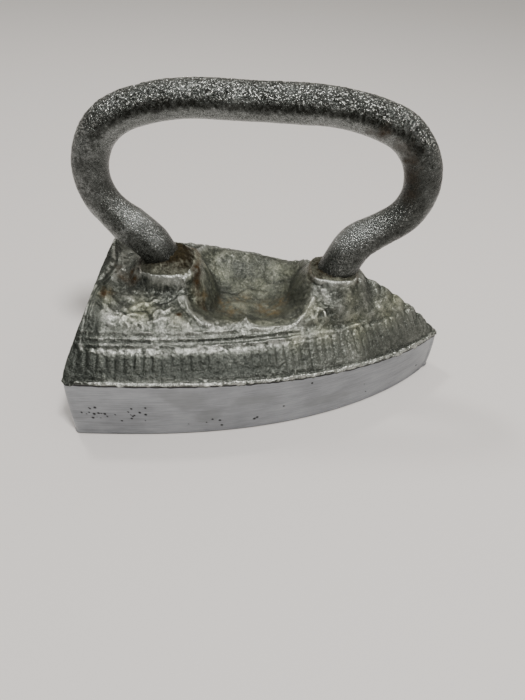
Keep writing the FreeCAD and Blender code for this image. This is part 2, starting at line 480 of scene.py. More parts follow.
# ---- Casting mesh
BORDER_STEP = 0.36
BAND = 16.5  # inward width that gets the finest rows
BAND_ROWS = 74
CROWN_ROWS = 90
SIDE_ROWS = 52
SOLE_ROWS = 8
SPINE_START, SPINE_END = 25.5, 2.5  # the crown's middle line starts and ends this far from the ends
FAR_INWARD = 99.0  # stands for the ground side and the sole, which have no place on the crown
PIT_DEPTH = 0.35
# Painted shade: the top of the ground side is painted dark right under the parting edge, where the edge's
# shadow falls.
PARTING_EDGE_SHADE = 0.8  # how dark the top of the ground side is, right under the parting edge

# Clusters of pits in the ground side: x, height, spread along and up, how many.
PIT_CLUSTERS = (
    (-59, 11.5, 3.6, 1.7, 17),
    (-46.5, 11, 3.4, 2.2, 11),
    (-20, 5.5, 5, 1.5, 5),
    (-3.5, 5.5, 0.5, 0.5, 2),
    (39, 5.8, 0.5, 0.5, 1),
    (20, 12, 30, 4, 4),
)
# Clouds of stain on the ground side: x, height, half length, half height.
STAINS = (
    (-27.5, 17.5, 6.5, 5),
    (-33, 20, 4, 3),
    (-21, 9, 5, 3.5),
    (-4, 15, 8, 2.5),
    (24, 8, 9, 2.5),
)


def ring_points():
    """Border points round the whole plan, heel middle to tip and back, and how many are on one side."""
    half = resample(half_outline(), BORDER_STEP)
    other = half[1:-1][::-1] * (1, -1)
    return np.vstack([half, other]), len(half)


def border_normals(border):
    tangent = unit(np.roll(border, -1, axis=0) - np.roll(border, 1, axis=0))
    return np.column_stack([-tangent[:, 1], tangent[:, 0]])


def spine_points(border, half_count):
    """Where each border point's row of the grid meets the middle plane."""
    half = border[:half_count]
    tangent = unit(np.gradient(half, axis=0))
    slope = np.where(tangent[:, 0] > 0.02, tangent[:, 1] / np.maximum(tangent[:, 0], 0.02), 0.0)
    meets = half[:, 0] + slope * half[:, 1]
    meets[half[:, 0] < HEEL_X + CORNER_RADIUS + 0.1] = HEEL_X
    last = TIP_X - SPINE_END
    meets = np.maximum.accumulate(np.clip(meets, HEEL_X, last))
    first = HEEL_X + SPINE_START
    meets = first + (meets - HEEL_X) * (last - first) / (last - HEEL_X)
    x = np.concatenate([meets, meets[1:-1][::-1]])
    return np.column_stack([x, np.zeros(len(x))])


def casting_rows():
    """Grid rows from the sole's middle up and over the crown, which rows are cast, and how far inward
    of the ground edge each point is."""
    border, half_count = ring_points()
    spine = spine_points(border, half_count)
    reach = np.hypot(*(spine - border).T)[:, None]
    towards = (spine - border) / reach
    outward = border_normals(border)
    level = np.zeros(len(border))
    rows, inward = [], []
    for share in np.linspace(0.0, 1.0, SOLE_ROWS, endpoint=False):
        plan = border + towards * np.maximum((1.0 - share) * reach, 1.5)
        rows.append(np.column_stack([plan, level]))
    for turn in np.linspace(0.0, 0.5 * math.pi, 7):
        plan = border - outward * SOLE_EDGE * (1.0 - math.sin(turn))
        rows.append(np.column_stack([plan, level + SOLE_EDGE * (1.0 - math.cos(turn))]))
    ragged = layered_noise(np.column_stack([border, level]), 2.4, 511, 2)
    top = ground_edge(border[:, 0]) + 0.28 * ragged
    for share in np.linspace(0.0, 1.0, SIDE_ROWS)[1:]:
        plan = border - outward * BARREL * (2.0 * share - 1.0) ** 2
        rows.append(np.column_stack([plan, SOLE_EDGE + (top - SOLE_EDGE) * share]))
    ground_rows = len(rows)
    flash = BARREL - 0.38 - 0.28 * ragged[:, None]
    band = np.minimum(BAND, 0.55 * reach)
    for share in np.linspace(0.0, 1.0, BAND_ROWS):
        inward.append(flash + (band - flash) * share)
    for share in np.linspace(0.0, 1.0, CROWN_ROWS)[1:]:
        inward.append(band + (reach - band) * share)
    for distance in inward:
        rows.append(np.column_stack([border + towards * distance, level]))
    cast = np.arange(len(rows)) >= ground_rows
    inward = np.vstack([np.full((ground_rows, len(border)), FAR_INWARD), np.array(inward)[..., 0]])
    return np.array(rows), cast, inward


def grid_normals(rows):
    across = np.roll(rows, -1, axis=1) - np.roll(rows, 1, axis=1)
    up = np.gradient(rows, axis=0)
    normal = np.cross(up, across)
    return normal / np.maximum(np.linalg.norm(normal, axis=2, keepdims=True), 1e-9)


def relief_of(rows, normals, span):
    """How far each grid point stands out from the average of the points span rows and columns away."""
    total = np.zeros_like(rows)
    for shift in (-span, span):
        total += np.roll(rows, shift, axis=1)
        total += rows[np.clip(np.arange(len(rows)) + shift, 0, len(rows) - 1)]
    return ((rows - total / 4.0) * normals).sum(2).ravel()


def pits(points):
    """1 in the pits of the ground side, which are at -Y only."""
    random = np.random.RandomState(31)
    depth = np.zeros(len(points))
    for x, z, spread_x, spread_z, count in PIT_CLUSTERS:
        for _ in range(count):
            cx = x + spread_x * np.clip(random.normal(), -1.6, 1.6)
            cz = z + spread_z * np.clip(random.normal(), -1.6, 1.6)
            radius = random.uniform(0.25, 0.62)
            gap = ((points[:, 0] - cx) ** 2 + (points[:, 2] - cz) ** 2) / radius ** 2
            depth = np.maximum(depth, np.exp(-gap) * (points[:, 1] < 0.0))
    return depth


def stains(points):
    edge = 2.4 * layered_noise(points, 5.0, 521, 3)
    cover = np.zeros(len(points))
    for x, z, half_length, half_height in STAINS:
        q = np.hypot((points[:, 0] - x) / half_length, (points[:, 2] - z) / half_height)
        cover = np.maximum(cover, smooth(1.3, 0.6, q + 0.10 * edge))
    return cover


def spots(points, places):
    """1 at the listed places, falling away over each one's radius."""
    cover = np.zeros(len(points))
    for x, y, z, radius in places:
        gap = ((points - (x, y, z)) ** 2).sum(1) / radius ** 2
        cover = np.maximum(cover, np.exp(-gap))
    return cover


def mouth_grime(points):
    """Grime round the posts' mouths, apart from their -Y sides, which are rubbed clean."""
    x, y, _ = points.T
    cover = np.zeros(len(points))
    for post in POSTS:
        sheltered = smooth(0.80, 0.55, -y / np.maximum(np.hypot(x - post.x, y), 1e-6))
        cover = np.maximum(cover, 0.72 * bump(outside_mouth(x, y, post), -0.8, 1.7) * sheltered)
    return cover


# Rust on the casting: x, y, z, radius.
CASTING_RUST = (
    (-53, -5.5, 45, 4.2), (-50.5, -8.5, 44.5, 3.2), (-56, -1, 45.5, 2.4),
    (-27, -4, 46.2, 2.6), (-26.9, -6, 44.9, 2.4), (-26.7, -8, 43.3, 2.4), (-26.3, -9.7, 41.7, 2.3),
    (-25.9, -11, 40.2, 2.2), (-25.2, -12, 38.4, 2.2), (-24.4, -12.5, 36.6, 2),
    (-23.5, -12.6, 35, 1.8), (-58.5, -17.5, 43, 1.6), (-32, -23.6, 40, 1.4), (31, 2, 45, 1.2),
)
# Places worn bright, some of them also given painted highlights on lips and faces: x, y, z, radius.
CASTING_WORN_AND_HIGHLIT = (
    (18, -8.5, 46.3, 2.4), (23, -9.2, 46.3, 2.4), (28, -8.5, 46.2, 2.4), (-30.5, -10.6, 47.2, 2.2),
    (-35, -11.2, 47.2, 1.8), (-42, -11.2, 47.2, 1.4), (-47.5, -19.5, 41, 2.2), (20, -13, 42, 3),
    (25.6, -13.8, 40.5, 2.5), (42.2, -7, 36, 2.5), (-54.8, -26, 40, 2.4), (-37, -25, 40.5, 3),
    (-9.5, -27, 38, 2), (15.5, -16, 39, 2.5),
)
# Painted light: the crown's far-left corner behind the bar, painted paler.
CASTING_PAINTED_LIGHT = ((-57, 6, 45, 6), (-60, 14, 44, 5))
# Painted shade: darker round the posts' feet, on the rear post's near face and in the recess's corners; the
# front post's foot gets extra painted shade.
FRONT_POST_FOOT = (23, -15, 40, 6)
CASTING_PAINTED_SHADE = (
    FRONT_POST_FOOT, (-37.6, -13, 43.5, 5), (-45, -11, 43.5, 4.5), (-30, -10, 43, 4),
    (9, -6, 39, 5), (12, 2, 41, 5),
)
# How much those lighten or darken the iron.
CASTING_TONES = ((0.45, CASTING_WORN_AND_HIGHLIT), (0.22, CASTING_PAINTED_LIGHT), (-0.06, CASTING_PAINTED_SHADE),
                 (-0.12, (FRONT_POST_FOOT,)))
# Orange stains on the casting: x, y, z, radius.
CASTING_OCHRE = (
    (-15, -6.5, 30, 4.2), (-18, -1, 30, 2.6), (-1.5, -4.5, 30, 4.2), (2, -9.5, 30, 3.4),
    (-11, 1, 30, 3), (5, -1, 31, 3), (-24, -8.5, 37, 2.4), (-57.5, -16, 43, 2),
)
# Yellow-green patina on the casting: x, y, z, radius.
CASTING_PATINA = (
    (-31, -23.5, 40.5, 5), (-57, -18.5, 42.5, 5), (-45, -22, 41, 6.5),
    (-16, -14, 32, 9), (-2, -12, 31, 9), (15.5, -15.5, 37.5, 4.5), (20, -20, 34, 6),
    (34, -16, 32, 7), (45, -7, 33, 6), (48, 0, 35, 7), (10, -25, 31, 3.5),
    (30, -10, 40, 5),
)
# Painted shade in the grooves along the band, and painted highlights on its bead and border: inward
# distance, width, strength.
GROOVE_SHADE_LINES = ((11.75, 0.45, 0.42), (13.4, 0.36, 0.36))
BEAD_AND_BORDER_HIGHLIGHTS = ((12.6, 0.30, 0.22), (14.4, 0.45, 0.32))


def drawn(inward, lines):
    return sum(strength * bump(inward, at, width) for at, width, strength in lines)


def casting_regions(points, inward):
    """How far each point lies in the parts of the casting with a skin or shade of their own, 0 to 1."""
    x, y, _ = points.T
    share = recess_share(x, y)
    brim_ends = smooth(-14.0, -20.0, x) + 0.6 * smooth(5.0, 12.0, x)
    return {
        "off_heel": (x > HEEL_X + 3.0).astype(float),
        "heel_strip": smooth(HEEL_X + 12.2, HEEL_X + 10.6, x),
        "tip_half": smooth(-10.0, 30.0, x),
        "heel_half": smooth(16.0, 2.0, x),
        "flutes": smooth(1.8, 3.2, inward) * smooth(FLUTE_HEAD, FLUTE_HEAD - 2.0, inward),
        "recess": 0.7 * smooth(1.02, 0.9, share),
        "near_brim": bump(share, 1.055, 0.05) * smooth(-7.0, -13.0, y) * brim_ends,
        "post_face": bump(outside_mouth(x, y, POSTS[0]), 2.6, 2.6) * smooth(-6.0, -10.0, y),
    }


def cast_roughness(points, region):
    """Height of the cast skin: grain and craters, less of them in the flutes, and a crinkled post face."""
    grained = 0.08 * layered_noise(points, 1.3, 11) + 0.06 * noise(points, 0.72, 21)
    grained += 0.12 * noise(points, 4.5, 31)
    craters = 0.10 * smooth(0.35, 0.75, noise(points, 1.5, 41))
    crinkled = 0.20 * layered_noise(points, 1.7, 61, 3) * region["post_face"]
    return (grained - craters) * (1.0 - 0.40 * region["flutes"]) + crinkled


def casting_shade(points, shape, inward, region):
    """How much lighter or darker the iron is than its relief makes it, as wear, painted highlights and
    painted shade. shape is points without the skin.
    """
    patchy = 1.3 * smooth(-0.45, 0.6, layered_noise(shape, 1.6, 531, 3))
    x = shape[:, 0]
    tip_half, heel_half, off_heel = region["tip_half"], region["heel_half"], region["off_heel"]
    # Worn spots with painted highlights, painted light behind the bar, painted shade round the posts' feet.
    shade = sum(tone * spots(points, places) for tone, places in CASTING_TONES)
    # Painted shade in the recess, on the heel strip and towards the tip.
    shade -= 0.16 * region["recess"] + 0.50 * region["heel_strip"] + 0.07 * smooth(14.0, 42.0, x)
    # A mottle on the rear post's near face, and the recess's near brim worn bright.
    shade += (0.30 * patchy - 0.14) * region["post_face"] + 0.35 * patchy * region["near_brim"]
    # Painted highlights, partly wear, along the parting edge and on the ledge over the flutes, which faces
    # up into the light.
    worn_edge_highlight = (0.95 - 0.35 * tip_half) * bump(inward, 0.42, 0.65)
    ledge_highlight = 0.75 * bump(inward, FLUTE_HEAD + 0.8, 0.8) * smooth(26.0, 4.0, x)
    shade += patchy * off_heel * (worn_edge_highlight + ledge_highlight)
    # The flutes darker, less so towards the tip.
    shade -= (0.52 - 0.50 * tip_half) * region["flutes"] * off_heel
    # Lines over the flutes lifted a little (painted light), with painted shade in their grooves and painted
    # highlights on the bead and border.
    shade += 0.10 * bump(inward, 12.8, 2.0) - heel_half * drawn(inward, GROOVE_SHADE_LINES)
    return shade + heel_half * off_heel * patchy * drawn(inward, BEAD_AND_BORDER_HIGHLIGHTS)


def casting():
    """Grid of the casting, the material slot of each face, and what the materials read at each point."""
    rows, cast, inward = casting_rows()
    count, around, _ = rows.shape
    plan = rows[cast].reshape(-1, 3)
    rows[cast, :, 2] = crown_height(plan[:, 0], plan[:, 1]).reshape(cast.sum(), around)
    normals = grid_normals(rows)
    normals[cast] *= np.where(normals[cast][..., 2:] < 0.0, -1.0, 1.0)
    normals[-1] = (0.0, 0.0, 1.0)
    shape = rows.reshape(-1, 3)
    inward = inward.ravel()
    ground = ~np.repeat(cast, around)
    region = casting_regions(shape, inward)
    skin = np.where(ground, 0.0, cast_roughness(shape, region))
    rows = rows + normals * skin.reshape(count, around, 1)
    pitted = np.where(ground, pits(shape), 0.0)
    rows[..., 1] += PIT_DEPTH * pitted.reshape(count, around)
    points = rows.reshape(-1, 3)
    shade = casting_shade(points, shape, inward, region)
    crispness = 1.0 - 0.40 * region["flutes"] * region["off_heel"] - 0.60 * region["heel_strip"]
    wide = np.clip(relief_of(rows, normals, 8), -0.22, 0.35) * crispness
    # Painted shade along the two ground rows right under the parting edge.
    last_ground = np.flatnonzero(~cast)[-1]
    under_edge = np.repeat(np.isin(np.arange(count), (last_ground - 1, last_ground)), around)
    values = {
        "relief": relief_of(rows, normals, 2) * crispness,
        # Painted glints all over the casting, more where it is worn or painted lighter.
        "glint": np.clip(0.5 * shade + 0.15, 0.0, 0.6),
        "rust": np.maximum(spots(points, CASTING_RUST), mouth_grime(points)),
        "patina": np.maximum(spots(points, CASTING_PATINA), region["recess"]),
        "ochre": spots(points, CASTING_OCHRE),
    }
    values = {key: np.where(ground, 0.0, value) for key, value in values.items()}
    # Wider relief plus the wear, painted highlights and painted shade of casting_shade.
    values["wide_relief_and_shade"] = np.where(ground, 0.0, wide) + shade
    # The real pits, with the painted shade under the parting edge, go to the ground face together.
    values["pits_and_edge_shade"] = np.maximum(pitted, PARTING_EDGE_SHADE * under_edge)
    values["stain"] = np.where(ground, stains(shape), 0.0)
    slots = np.repeat(np.where(cast[1:], 0, 1), around)
    return rows, slots, values


def add_object(name, data):
    made = bpy.data.objects.new(name, data)
    bpy.context.scene.collection.objects.link(made)
    return made


def grid_piece(name, rows, materials, values, slots=None):
    """A closed mesh from a grid whose rows run round and whose first and last rows close on themselves."""
    count, around, _ = rows.shape
    index = np.arange(count * around).reshape(count, around)
    low, high = index[:-1], index[1:]
    quads = np.stack([low, high, np.roll(high, -1, axis=1), np.roll(low, -1, axis=1)], axis=2)
    mesh = bpy.data.meshes.new(name)
    mesh.from_pydata((rows.reshape(-1, 3) * MM).tolist(), [], quads.reshape(-1, 4).tolist())
    for material in materials:
        mesh.materials.append(material)
    if slots is not None:
        mesh.polygons.foreach_set("material_index", slots)
    for key, data in values.items():
        mesh.attributes.new(key, "FLOAT", "POINT").data.foreach_set("value", data.astype(np.float32))
    shape = bmesh.new()
    shape.from_mesh(mesh)
    shape.verts.ensure_lookup_table()
    ends = shape.verts[:around] + shape.verts[-around:]
    bmesh.ops.remove_doubles(shape, verts=ends, dist=1e-6)
    bmesh.ops.recalc_face_normals(shape, faces=shape.faces)
    for face in shape.faces:
        face.smooth = True
    shape.to_mesh(mesh)
    shape.free()
    return add_object(name, mesh)


# ---- Handle bar
# The CAD bar's centreline in the XZ plane: corners of its runs and the bend at each.
TOP_AXIS = bar_high.z - BAR_RADIUS
BAR_CORNERS = ((-33.1, 40.1), (-61.4, 72.0), (-60.5, 94.7), (-34.6, TOP_AXIS + 0.1), (21.1, TOP_AXIS - 0.4),
               (47.2, 94.2), (48.9, 70.6), (29.2, 57.1), (20.6, 37.2))
BEND_RADII = (19.0, 21.8, 72.0, 71.0, 21.5, 16.2, 15.0)
BAR_WAIST = 5.78  # radius of the bar's long top run, before its waves and skin
BAR_STEP = 0.38
BAR_AROUND = 100

# Rust and bare dark patches on the bar: x, y, z, radius.
BAR_RUST = (
    (31.2, -5, 97.5, 3), (36.8, -5, 93.5, 3.6), (40.2, -5, 89.5, 4), (42, -4, 84, 4),
    (43, -4.5, 78, 3.4), (27, -5, 97.6, 1.8), (23, -4.5, 97, 1.2), (12.2, -4, 98, 1.6),
    (19, -4.5, 55, 1.4), (24, 2, 50, 2.4), (-33.5, 1, 52, 3), (-42, 2, 63.5, 2),
    (26, 3, 62, 2.5),
)


def bar_centreline():
    """Points along the bar's centreline in the XZ plane, evenly spaced, from the rear foot to the front."""
    corners = np.array(BAR_CORNERS)
    line = [corners[:1]]
    for before, corner, after, radius in zip(corners, corners[1:], corners[2:], BEND_RADII):
        back, on = unit(before - corner), unit(after - corner)
        half_angle = 0.5 * math.acos(back @ on)
        centre = corner + unit(back + on) * radius / math.sin(half_angle)
        start = corner + back * radius / math.tan(half_angle) - centre
        end = corner + on * radius / math.tan(half_angle) - centre
        sweep = math.pi - 2.0 * half_angle
        t = np.linspace(0.0, 1.0, 60)[:, None]
        line.append(centre + (start * np.sin((1.0 - t) * sweep) + end * np.sin(t * sweep)) / math.sin(sweep))
    return resample(np.vstack(line + [corners[-1:]]), BAR_STEP)


def bar_lean(s):
    """How far the bar's rear run lies towards the hand opening from the CAD's centreline."""
    return 1.35 * smooth(34.0, 17.0, s) * (0.35 + 0.65 * smooth(9.0, 18.0, s))


def bar_radius(s, z):
    """Radius along the bar, which is fuller over both feet and a little fuller in its upright runs."""
    radius = np.full_like(s, BAR_WAIST)
    over_rear_foot = smooth(35.0, 25.0, s) * (0.5 + 0.5 * smooth(9.0, 18.0, s))
    radius += 0.95 * over_rear_foot + 0.15 * bump(s, 28.0, 1.4)
    radius += 1.15 * smooth(s[-1] - 34.0, s[-1] - 19.0, s)
    radius += 0.28 * bump(z, 80.0, 14.0)
    return radius


def forged_roughness(points, rough):
    """Height of the bar's skin: long waves all over, hammer marks and craters where it is rough."""
    waves = 0.12 * noise(points, 6.5, 611) + 0.22 * noise(points, 17.0, 621)
    hammered = 0.09 * layered_noise(points, 1.2, 631, 2) + 0.06 * noise(points, 0.75, 641)
    craters = 0.09 * smooth(0.3, 0.7, noise(points, 1.4, 651))
    return waves + (hammered - craters) * rough


def bar_values(rows, shell, outward, axis_z):
    """What the bar's material reads at each point, with painted light and shade: the floor's reflection
    under it, highlights on its runs, a dark band on its near face and glints on top. shell is rows without
    the skin.
    """
    x, _, z = shell.reshape(-1, 3).T
    facing = outward.reshape(-1, 3)
    upper_run = smooth(84.0, 96.0, np.repeat(axis_z, BAR_AROUND))
    # Painted reflection of the pale floor on the bar's underside.
    floor_reflection = smooth(0.0, -0.45, facing[:, 2]) * (0.15 + 0.85 * upper_run)
    # Painted highlights on the rear run's upper inner side and the front run's upper side.
    rear_highlight = smooth(0.55, 0.95, facing @ (0.55, -0.42, 0.72)) * smooth(-36.0, -42.0, x)
    rear_highlight = rear_highlight * smooth(78.0, 68.0, z)
    front_highlight = smooth(0.1, 0.8, facing @ (-0.55, -0.30, 0.78)) * smooth(18.0, 24.0, x)
    front_highlight = front_highlight * smooth(80.0, 70.0, z)
    # Painted dark reflection of the room along the top run's near face.
    near_face_shade = bump(facing[:, 2], -0.02, 0.30) * (facing[:, 1] < 0.0)
    upwards = smooth(0.10, 0.50, facing[:, 2]) * smooth(80.0, 94.0, z)
    shade = 0.60 * floor_reflection + 0.32 * rear_highlight + 0.22 * front_highlight - 0.12
    shade -= 0.26 * near_face_shade * smooth(90.0, 98.0, z)
    shade -= 0.08 * smooth(34.0, 44.0, x) * smooth(98.0, 86.0, z)
    shade += 0.16 * smooth(-50.0, -60.0, x) * smooth(100.0, 90.0, z)
    relief, wide = relief_of(rows, outward, 2), relief_of(rows, outward, 6)
    return {
        "relief": relief - relief.mean(),
        "wide_relief_and_shade": wide - wide.mean() + shade,
        # Painted glints where the top run faces up and along the two painted highlights.
        "glint": np.clip(0.9 * upwards + 0.5 * rear_highlight + 0.4 * front_highlight, 0.0, 0.9),
        "rust": 0.62 * spots(rows.reshape(-1, 3), BAR_RUST),
        "patina": np.zeros(len(x)),
        "ochre": np.zeros(len(x)),
    }


def handle_bar():
    """Grid of the bar, closed at both ends, and what its material reads at each point."""
    line = bar_centreline()
    s = along(line)
    tangent = unit(np.gradient(line, axis=0))
    to_opening = np.column_stack([tangent[:, 1], -tangent[:, 0]])
    line = line + to_opening * bar_lean(s)[:, None]
    angle = np.linspace(0.0, 2.0 * math.pi, BAR_AROUND, endpoint=False)
    in_plane = to_opening[:, None, :] * np.cos(angle)[None, :, None]
    sideways = np.broadcast_to(np.sin(angle), in_plane.shape[:2])
    outward = np.stack([in_plane[..., 0], sideways, in_plane[..., 1]], 2)
    centre = np.column_stack([line[:, 0], np.zeros(len(line)), line[:, 1]])
    shell = centre[:, None, :] + outward * bar_radius(s, line[:, 1])[:, None, None]
    outer = 0.5 - 0.5 * np.cos(angle)[None, :]
    on_top = smooth(84.0, 98.0, line[:, 1])[:, None]
    rough = (0.30 + 0.70 * smooth(0.15, 0.5, outer)) * (0.7 + 0.5 * on_top)
    skin = forged_roughness(shell.reshape(-1, 3), rough.ravel())
    rows = shell + outward * skin.reshape(len(line), -1, 1)
    values = bar_values(rows, shell, outward, line[:, 1])
    ends = [np.broadcast_to(centre[i], (1, BAR_AROUND, 3)) for i in (0, -1)]
    rows = np.concatenate([ends[0], rows, ends[1]])
    values = {key: np.pad(data.reshape(-1, BAR_AROUND), ((1, 1), (0, 0)), "edge").ravel()
              for key, data in values.items()}
    return rows, values


# ---- Rust packed into the sockets
PACKING_RINGS = 44
PACKING_AROUND = 140
PACKING_DEPTH = 3.4
BARE_RIM = 0.04  # how much further in the bare iron colour reaches, as a share of the radius
# How each heap of rust rises towards the bar: slope, and extra slope on the side the bar leans away from.
HEAPS = ((0.72, 0.16), (0.45, 0.0))


def packing(post, heap):
    """Lumpy filling of a socket, heaped against the bar and sunk a little below the mouth's wide lip."""
    slope, slope_behind = heap
    outer = post.radius - POST_LIP + 0.35
    angle = np.linspace(0.0, 2.0 * math.pi, PACKING_AROUND, endpoint=False)
    behind = smooth(0.0, 0.9, np.sign(-post.x) * np.cos(angle))
    square = 1.0 / squarish(np.cos(angle), np.sin(angle))
    shares = np.linspace(0.0, 1.0, PACKING_RINGS)
    rows = []
    for share in shares:
        x = post.x + outer * share * square * np.cos(angle)
        y = outer * share * square * np.sin(angle)
        rise = (slope + slope_behind * behind) * outer * (1.0 - max(share, 0.45)) ** 1.25 * 1.2
        level = np.column_stack([x, y, np.full_like(x, post.mouth)])
        lumps = 0.34 * layered_noise(level, 2.4, 701, 3) + 0.14 * noise(level, 0.8, 711)
        edge = smooth(0.85, 1.0, share)
        sunk = 0.3 * smooth(0.72, 0.86, share) * post_shoulder(x, y, post)
        height = post.mouth - 0.5 + 0.2 * behind * edge + rise + lumps * (1.0 - 0.6 * edge) - sunk
        rows.append(np.column_stack([x, y, height]))
    rows[0][:, 2] = rows[0][:, 2].mean()
    bottom = rows[-1].copy()
    bottom[:, 2] = post.mouth - PACKING_DEPTH
    floor = bottom.copy()
    floor[:, 0] = post.x
    floor[:, 1] = 0.0
    rows = np.array(rows + [bottom, floor])
    up = np.zeros_like(rows)
    up[..., 2] = 1.0
    rim = shares[:, None] + BARE_RIM - 0.08 * behind
    return rows, {"relief": relief_of(rows, up, 1), "rim": np.vstack([rim, rim[-2:]]).ravel()}


# ---- Materials
RUST_DARK, RUST_LIGHT = (0.018, 0.011, 0.006), (0.074, 0.046, 0.020)
# Painted glints: bright flecks laid into the base colour.
GLINT_COLOUR = (0.80, 0.81, 0.78)
PATINA_TINT = (1.06, 1.05, 0.76)
OCHRE = (0.19, 0.125, 0.045)
GROUND_DARK, GROUND_LIGHT = (0.165, 0.174, 0.186), (0.360, 0.376, 0.398)
# The pits, and the painted shade at the sole's edge and under the parting edge, take the darkest colour.
GROUND_STAIN, GROUND_PIT_AND_SHADE = (0.20, 0.21, 0.215), (0.02, 0.02, 0.022)
# Rust in the sockets from its deepest cracks to its rubbed tops, and the bare iron at its rim.
SOCKET_RUST = ((0.32, (0.005, 0.004, 0.002)), (0.48, (0.018, 0.0135, 0.006)),
               (0.62, (0.038, 0.029, 0.013)), (0.80, (0.11, 0.10, 0.07)))
BARE_RIM_DARK, BARE_RIM_LIGHT = (0.05, 0.05, 0.038), (0.14, 0.14, 0.11)


def new_material(name):
    material = bpy.data.materials.new(name)
    material.use_nodes = True
    tree = material.node_tree
    return material, tree, tree.nodes["Principled BSDF"]


def node(tree, kind, inputs=None, **settings):
    made = tree.nodes.new("ShaderNode" + kind)
    for key, value in settings.items():
        setattr(made, key, value)
    for key, value in (inputs or {}).items():
        if isinstance(value, bpy.types.NodeSocket):
            tree.links.new(value, made.inputs[key])
        else:
            made.inputs[key].default_value = value
    return made


def attribute(tree, name):
    return node(tree, "Attribute", attribute_name=name).outputs["Fac"]


def place(tree, stretch=(1.0, 1.0, 1.0)):
    """Object coordinates in millimetres, stretched along each axis."""
    source = node(tree, "TexCoord").outputs["Object"]
    scale = tuple(s / MM for s in stretch)
    return node(tree, "Mapping", {"Vector": source, "Scale": scale}).outputs["Vector"]


def grain(tree, where, size, detail=4.0, roughness=0.6):
    """Noise of 0 to 1 with features about size millimetres across."""
    inputs = {"Vector": where, "Scale": 1.0 / size, "Detail": detail, "Roughness": roughness}
    return node(tree, "TexNoise", inputs).outputs["Fac"]


def calc(tree, operation, a, b=0.0, c=0.0):
    return node(tree, "Math", {0: a, 1: b, 2: c}, operation=operation).outputs[0]


def times(tree, a, b):
    return calc(tree, "MULTIPLY", a, b)


def plus(tree, a, b):
    return calc(tree, "ADD", a, b)


def spread(tree, value, low, high, to_low=0.0, to_high=1.0):
    """Maps low..high to to_low..to_high, and holds the ends."""
    inputs = {"Value": value, "From Min": low, "From Max": high, "To Min": to_low, "To Max": to_high}
    return node(tree, "MapRange", inputs).outputs["Result"]


def ramp(tree, value, stops):
    made = node(tree, "ValToRGB", {"Fac": value})
    elements = made.color_ramp.elements
    while len(elements) < len(stops):
        elements.new(0.5)
    for element, (position, colour) in zip(elements, stops):
        element.position = position
        element.color = (*colour, 1.0)
    return made.outputs["Color"]


def mix(tree, share, a, b, blend="MIX"):
    made = node(tree, "Mix", data_type="RGBA", blend_type=blend)
    for key, value in ((0, share), (6, a), (7, b)):
        if isinstance(value, bpy.types.NodeSocket):
            tree.links.new(value, made.inputs[key])
        else:
            made.inputs[key].default_value = value if key == 0 else (*value, 1.0)
    return made.outputs[2]


def bumped(tree, strength, distance, height):
    """Normal roughened by a height, over a distance in millimetres."""
    inputs = {"Strength": strength, "Distance": distance * MM, "Height": height}
    return node(tree, "Bump", inputs).outputs["Normal"]


def connect(tree, shader, **sockets):
    for key, socket in sockets.items():
        tree.links.new(socket, shader.inputs[key.replace("_", " ")])


